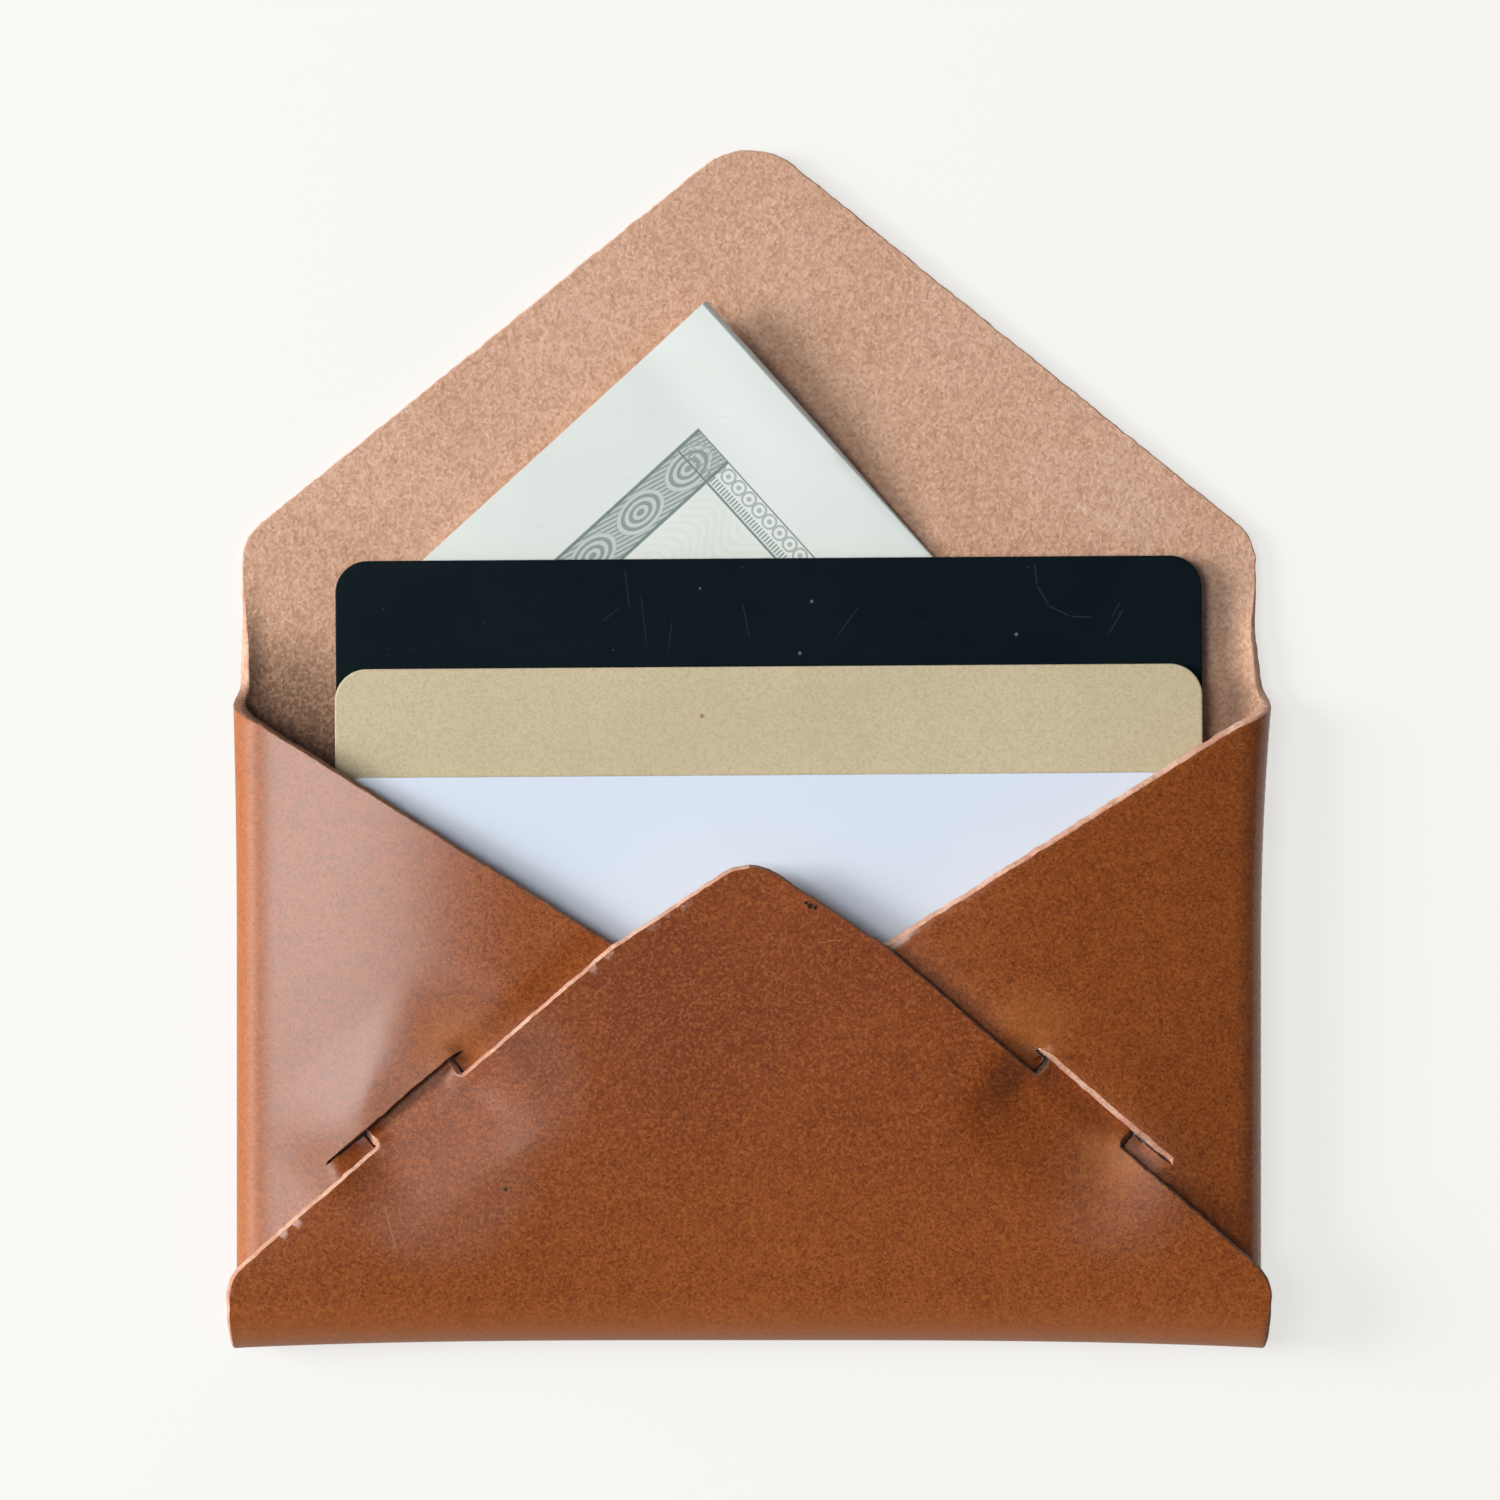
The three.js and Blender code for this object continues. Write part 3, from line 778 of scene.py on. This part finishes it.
def note_material():
    n = Nodes("note_paper")
    p = n.place()
    corner = (NOTE_CORNER[0] * MM, (NOTE_CORNER[1] - MIDDLE_Y) * MM, 0)
    turn = {"Vector": p, "Center": corner, "Angle": math.radians(NOTE_TURN - 90)}
    parts = n.add("SeparateXYZ", {0: n.add("VectorRotate", turn, rotation_type="Z_AXIS")})
    # t runs in from the long right-hand edge, s down along it, both in mm
    t = n.times(n.minus(parts.outputs["X"], NOTE_CORNER[0] * MM), -1000.0)
    s = n.times(n.minus(parts.outputs["Y"], (NOTE_CORNER[1] - MIDDLE_Y) * MM), -1000.0)

    def between(value, low, high, soft=0.06):
        return n.span(value, low - soft, low + soft, high - soft, high + soft)

    def wave(value, period, duty=0.5, sharp=4.0):
        w = n.math("SINE", n.times(value, 2 * math.pi / period))
        return n.times(n.plus(w, (duty - 0.5) * 2), sharp, clamp=True)

    def distance(a, b):
        return n.math("SQRT", n.plus(n.math("POWER", a, 2.0), n.math("POWER", b, 2.0)))

    paper = n.mix(n.band(n.noise(p, 60, 3), 0.3, 0.7), rgb(222, 228, 221), rgb(230, 234, 228))
    fibres = n.add("Mapping", {"Vector": p, "Scale": (1.0, 9.0, 1.0), "Rotation": (0, 0, 1.1)})
    paper = n.mix(n.times(n.band(n.noise(fibres, 420, 1), 0.72, 0.76), 0.12), paper, rgb(150, 168, 178))
    ink = rgb(96, 118, 112)
    margin = 8.7
    # Wide band along the short edge: lens shapes over fine lines
    wide = n.times(between(s, margin, margin + 4.6), n.band(t, margin - 0.06, margin + 0.06))
    period = 6.4
    cell = n.minus(n.math("FRACT", n.math("DIVIDE", n.minus(t, margin + 0.2), period)), 0.5)
    cx = n.times(cell, period)
    cy = n.minus(s, margin + 2.3)
    lens = distance(n.math("DIVIDE", cx, 2.9), n.math("DIVIDE", cy, 1.75))
    rosette = n.minus(1.0, n.band(lens, 0.95, 1.0))
    rings = wave(lens, 0.32, 0.55)
    hatch = wave(n.plus(s, n.times(t, 0.25)), 0.42, 0.6)
    border = n.most(between(s, margin, margin + 0.35), between(s, margin + 4.25, margin + 4.6))
    fill = n.plus(n.times(rosette, n.plus(0.35, n.times(rings, 0.5))),
                  n.times(n.minus(1.0, rosette), n.plus(0.4, n.times(hatch, 0.42))))
    print_wide = n.times(wide, n.most(border, fill))
    # Narrow band along the long edge: a chain of small arches over a ladder of fine strokes
    narrow = n.times(between(t, margin, margin + 3.1), n.band(s, margin - 0.06, margin + 0.06))
    cell2 = n.minus(n.math("FRACT", n.math("DIVIDE", s, 1.5)), 0.5)
    r2 = distance(n.times(cell2, 1.5), n.minus(t, margin + 1.0))
    chain = n.times(wave(r2, 0.55, 0.42), between(t, margin + 0.25, margin + 1.75))
    ladder = n.times(wave(s, 0.36, 0.6), between(t, margin + 1.95, margin + 2.75))
    lines = n.most(between(t, margin, margin + 0.16), between(t, margin + 2.85, margin + 3.1))
    print_narrow = n.times(narrow, n.most(n.times(chain, 0.6), n.most(n.times(ladder, 0.8), lines)))
    # Field: a pale guilloche
    field = n.times(n.band(s, margin + 4.7, margin + 5.2), n.band(t, margin + 3.2, margin + 3.6))
    curve = n.plus(t, n.times(n.math("SINE", n.times(s, 0.9)), 1.4))
    weave = n.times(wave(curve, 1.1, 0.36), field)
    amount = n.most(print_wide, print_narrow)
    amount = n.times(amount, n.plus(0.78, n.times(n.noise(p, 2500, 2), 0.2)))
    color = n.mix(n.times(weave, 0.16), paper, rgb(206, 206, 170))
    color = n.mix(amount, color, ink)
    n.bump(n.noise(p, 1400, 3), 0.18, 0.05)
    return n.finish(color, 0.82, Specular_IOR_Level=0.3)


materials = [grain_material(), flesh_material(), edge_material()]
leather, flat_area = build_leather(materials)
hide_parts("leather_sheet")

# Cards: rounded corners and softly broken edges
CARD_W, CARD_H, CARD_R, CARD_T = 85.6, 53.98, 3.18, 0.76
CARD_STEP = 10.7
CARD_TILT = math.radians(0.4)
CARDS_RIGHT = 2.1
CARD_FOOT = LEATHER + REST_GAP + CARD_W / 2 * math.sin(CARD_TILT)


def build_card(name, node, steps, base, material):
    corners = [(-CARD_W / 2, -CARD_H / 2, CARD_R), (CARD_W / 2, -CARD_H / 2, CARD_R),
               (CARD_W / 2, CARD_H / 2, CARD_R), (-CARD_W / 2, CARD_H / 2, CARD_R)]
    loop = resample(rounded(corners), 3.0)
    out = normals_out(loop)
    low = [(0.16, 0.0), (0.05, 0.035), (0.0, 0.14)]
    profile = low + [(back, CARD_T - z) for back, z in reversed(low)]
    verts, faces = [], []
    n = len(loop)
    for back, z in profile:
        ring = loop - out * back
        verts += [(x, y, z) for x, y in ring]
    for k in range(len(profile) - 1):
        for i in range(n):
            j = (i + 1) % n
            faces.append([k * n + i, k * n + j, (k + 1) * n + j, (k + 1) * n + i])
    faces.append(list(range(n))[::-1])
    faces.append([(len(profile) - 1) * n + i for i in range(n)])
    centre = np.array([CARDS_RIGHT, CARD_FOOT + CARD_H / 2 + steps * CARD_STEP, base])
    c, s = math.cos(CARD_TILT), math.sin(CARD_TILT)
    turn = np.array([[c, -s, 0], [s, c, 0], [0, 0, 1]])
    points = np.array(verts) @ turn.T + centre
    obj = new_object(name, points, faces, [material])
    for polygon in obj.data.polygons[-2:]:
        polygon.use_smooth = False
    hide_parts(node)
    return obj


build_card("card_black", "black_card", 2, 2.35, black_material())
build_card("card_kraft", "tan_card", 1, 3.41, kraft_material())
build_card("card_white", "white_card", 0, 4.47, white_material())


def build_note(material):
    """One strip of paper folded in half twice: four layers that part a little at the folded edge."""
    sheet, width, length = 0.1, 40.0, 67.0
    base = LEATHER + REST_GAP
    levels = [0.05, 0.2, 0.35, 0.5]
    path = []

    def turn(x, low, high, side):
        middle, r = (low + high) / 2, abs(high - low) / 2
        return [(x + side * math.sin(a) * r, middle - math.cos(a) * (high - low) / 2)
                for a in np.linspace(0, math.pi, 9)]

    run = lambda x0, x1, z: [(x, z) for x in np.linspace(x0, x1, 48)]
    path += run(0.15, width - 0.25, levels[0])[:-1]
    path += turn(width - 0.25, levels[0], levels[3], 1)
    path += run(width - 0.25, 0.15, levels[3])[1:-1]
    path += turn(0.15, levels[3], levels[2], -1)
    path += run(0.15, width - 0.6, levels[2])[1:-1]
    path += turn(width - 0.6, levels[2], levels[1], 1)
    path += run(width - 0.6, 0.5, levels[1])[1:]
    path = np.array(path)
    step = np.gradient(path, axis=0)
    step /= np.linalg.norm(step, axis=1)[:, None]
    side = np.stack([-step[:, 1], step[:, 0]], axis=1) * sheet / 2
    section = np.concatenate([path - side, (path + side)[::-1]])
    rows = 60
    n = len(section)
    c, s = math.cos(math.radians(90 - NOTE_TURN)), math.sin(math.radians(90 - NOTE_TURN))
    k = np.repeat(np.arange(rows + 1), n)
    lx = np.tile(section[:, 0], rows + 1) - width
    z = np.tile(section[:, 1], rows + 1)
    ly = -length * k / rows
    wx = NOTE_CORNER[0] + lx * c - ly * s
    wy = NOTE_CORNER[1] + lx * s + ly * c
    free = smooth((wy - 78) / 14)
    puff = 1 + 1.8 * free * smooth((lx + 9) / 9)
    wx = wx + 0.4 * (1 - z / 0.5) * free * smooth((lx + 1) / 1) * c
    wy = wy + 0.4 * (1 - z / 0.5) * free * smooth((lx + 1) / 1) * s
    lift = 2.9 * np.clip((wy - 77) / 25, 0, 1) ** 1.1
    verts = np.stack([wx, wy, base + z * puff + lift], axis=1)
    faces = []
    for k in range(rows):
        for i in range(n):
            j = (i + 1) % n
            faces.append([k * n + i, (k + 1) * n + i, (k + 1) * n + j, k * n + j])
    m = len(path)
    for k, flip in ((0, False), (rows, True)):
        for i in range(m - 1):
            quad = [k * n + i, k * n + i + 1, k * n + n - 2 - i, k * n + n - 1 - i]
            faces.append(quad[::-1] if flip else quad)
    obj = new_object("note", verts, faces, [material], smooth_faces=False)
    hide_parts("folded_note")
    return obj


note = build_note(note_material())

# Floor and light
def floor():
    mesh = bpy.data.meshes.new("floor")
    r = 3.0
    z = -0.1 * MM  # clear of the leather's underside
    mesh.from_pydata([(-r, -r, z), (r, -r, z), (r, r, z), (-r, r, z)], [], [(0, 1, 2, 3)])
    obj = bpy.data.objects.new("floor", mesh)
    bpy.context.scene.collection.objects.link(obj)
    n = Nodes("floor")
    n.finish(rgb(248, 247, 243), 0.95, Specular_IOR_Level=0.0)
    glow = n.add("Emission", {"Color": rgb(248, 247, 243), "Strength": 1.0})
    path = n.add("LightPath")
    mirrored = n.most(path.outputs["Is Glossy Ray"], path.outputs["Is Transmission Ray"])
    seen = n.most(path.outputs["Is Camera Ray"], mirrored)
    blend = n.add("MixShader", {0: n.times(seen, 0.75), 1: n.shader.outputs[0], 2: glow})
    n.put(n.tree.nodes["Material Output"].inputs["Surface"], blend)
    mesh.materials.append(n.material)


floor()


def area_light(name, location, target, size, power, color):
    light = bpy.data.lights.new(name, "AREA")
    light.shape = "RECTANGLE"
    light.size, light.size_y = size
    light.energy = power
    light.color = color
    obj = bpy.data.objects.new(name, light)
    obj.location = location
    obj.rotation_euler = (Vector(target) - Vector(location)).to_track_quat("-Z", "Y").to_euler()
    bpy.context.scene.collection.objects.link(obj)


# A tall window on the left: its upper part gives the sheen, its lower part the shadows
area_light("window_high", (-0.497, 0.05, 1.2), (0, 0, 0), (0.43, 0.5), 6.7, (1.0, 0.99, 0.98))
area_light("window_low", (-1.14, 0.12, 0.62), (0, 0, 0), (0.5, 0.5), 16.8, (1.0, 0.98, 0.95))

# A room that is darker above and on the right than around
world = bpy.data.worlds.new("world")
bpy.context.scene.world = world
world.use_nodes = True
sky = world.node_tree


def sky_math(op, a, b):
    node = sky.nodes.new("ShaderNodeMath")
    node.operation = op
    for socket, value in zip(node.inputs, (a, b)):
        if isinstance(value, bpy.types.NodeSocket):
            sky.links.new(value, socket)
        else:
            socket.default_value = value
    return node.outputs[0]


sky_parts = sky.nodes.new("ShaderNodeSeparateXYZ")
sky.links.new(sky.nodes.new("ShaderNodeTexCoord").outputs["Generated"], sky_parts.inputs[0])
sky_low = sky_math("SUBTRACT", 1.0, sky_parts.outputs["Z"])
sky_side = sky_math("SUBTRACT", 0.44, sky_math("MULTIPLY", sky_parts.outputs["X"], 0.38))
sky_level = sky_math("ADD", sky_math("MULTIPLY", sky_low, sky_side), 0.05)
sky.links.new(sky_level, sky.nodes["Background"].inputs["Strength"])
sky.nodes["Background"].inputs["Color"].default_value = (0.84, 0.94, 1.14, 1)

bpy.context.scene.view_settings.view_transform = "Standard"
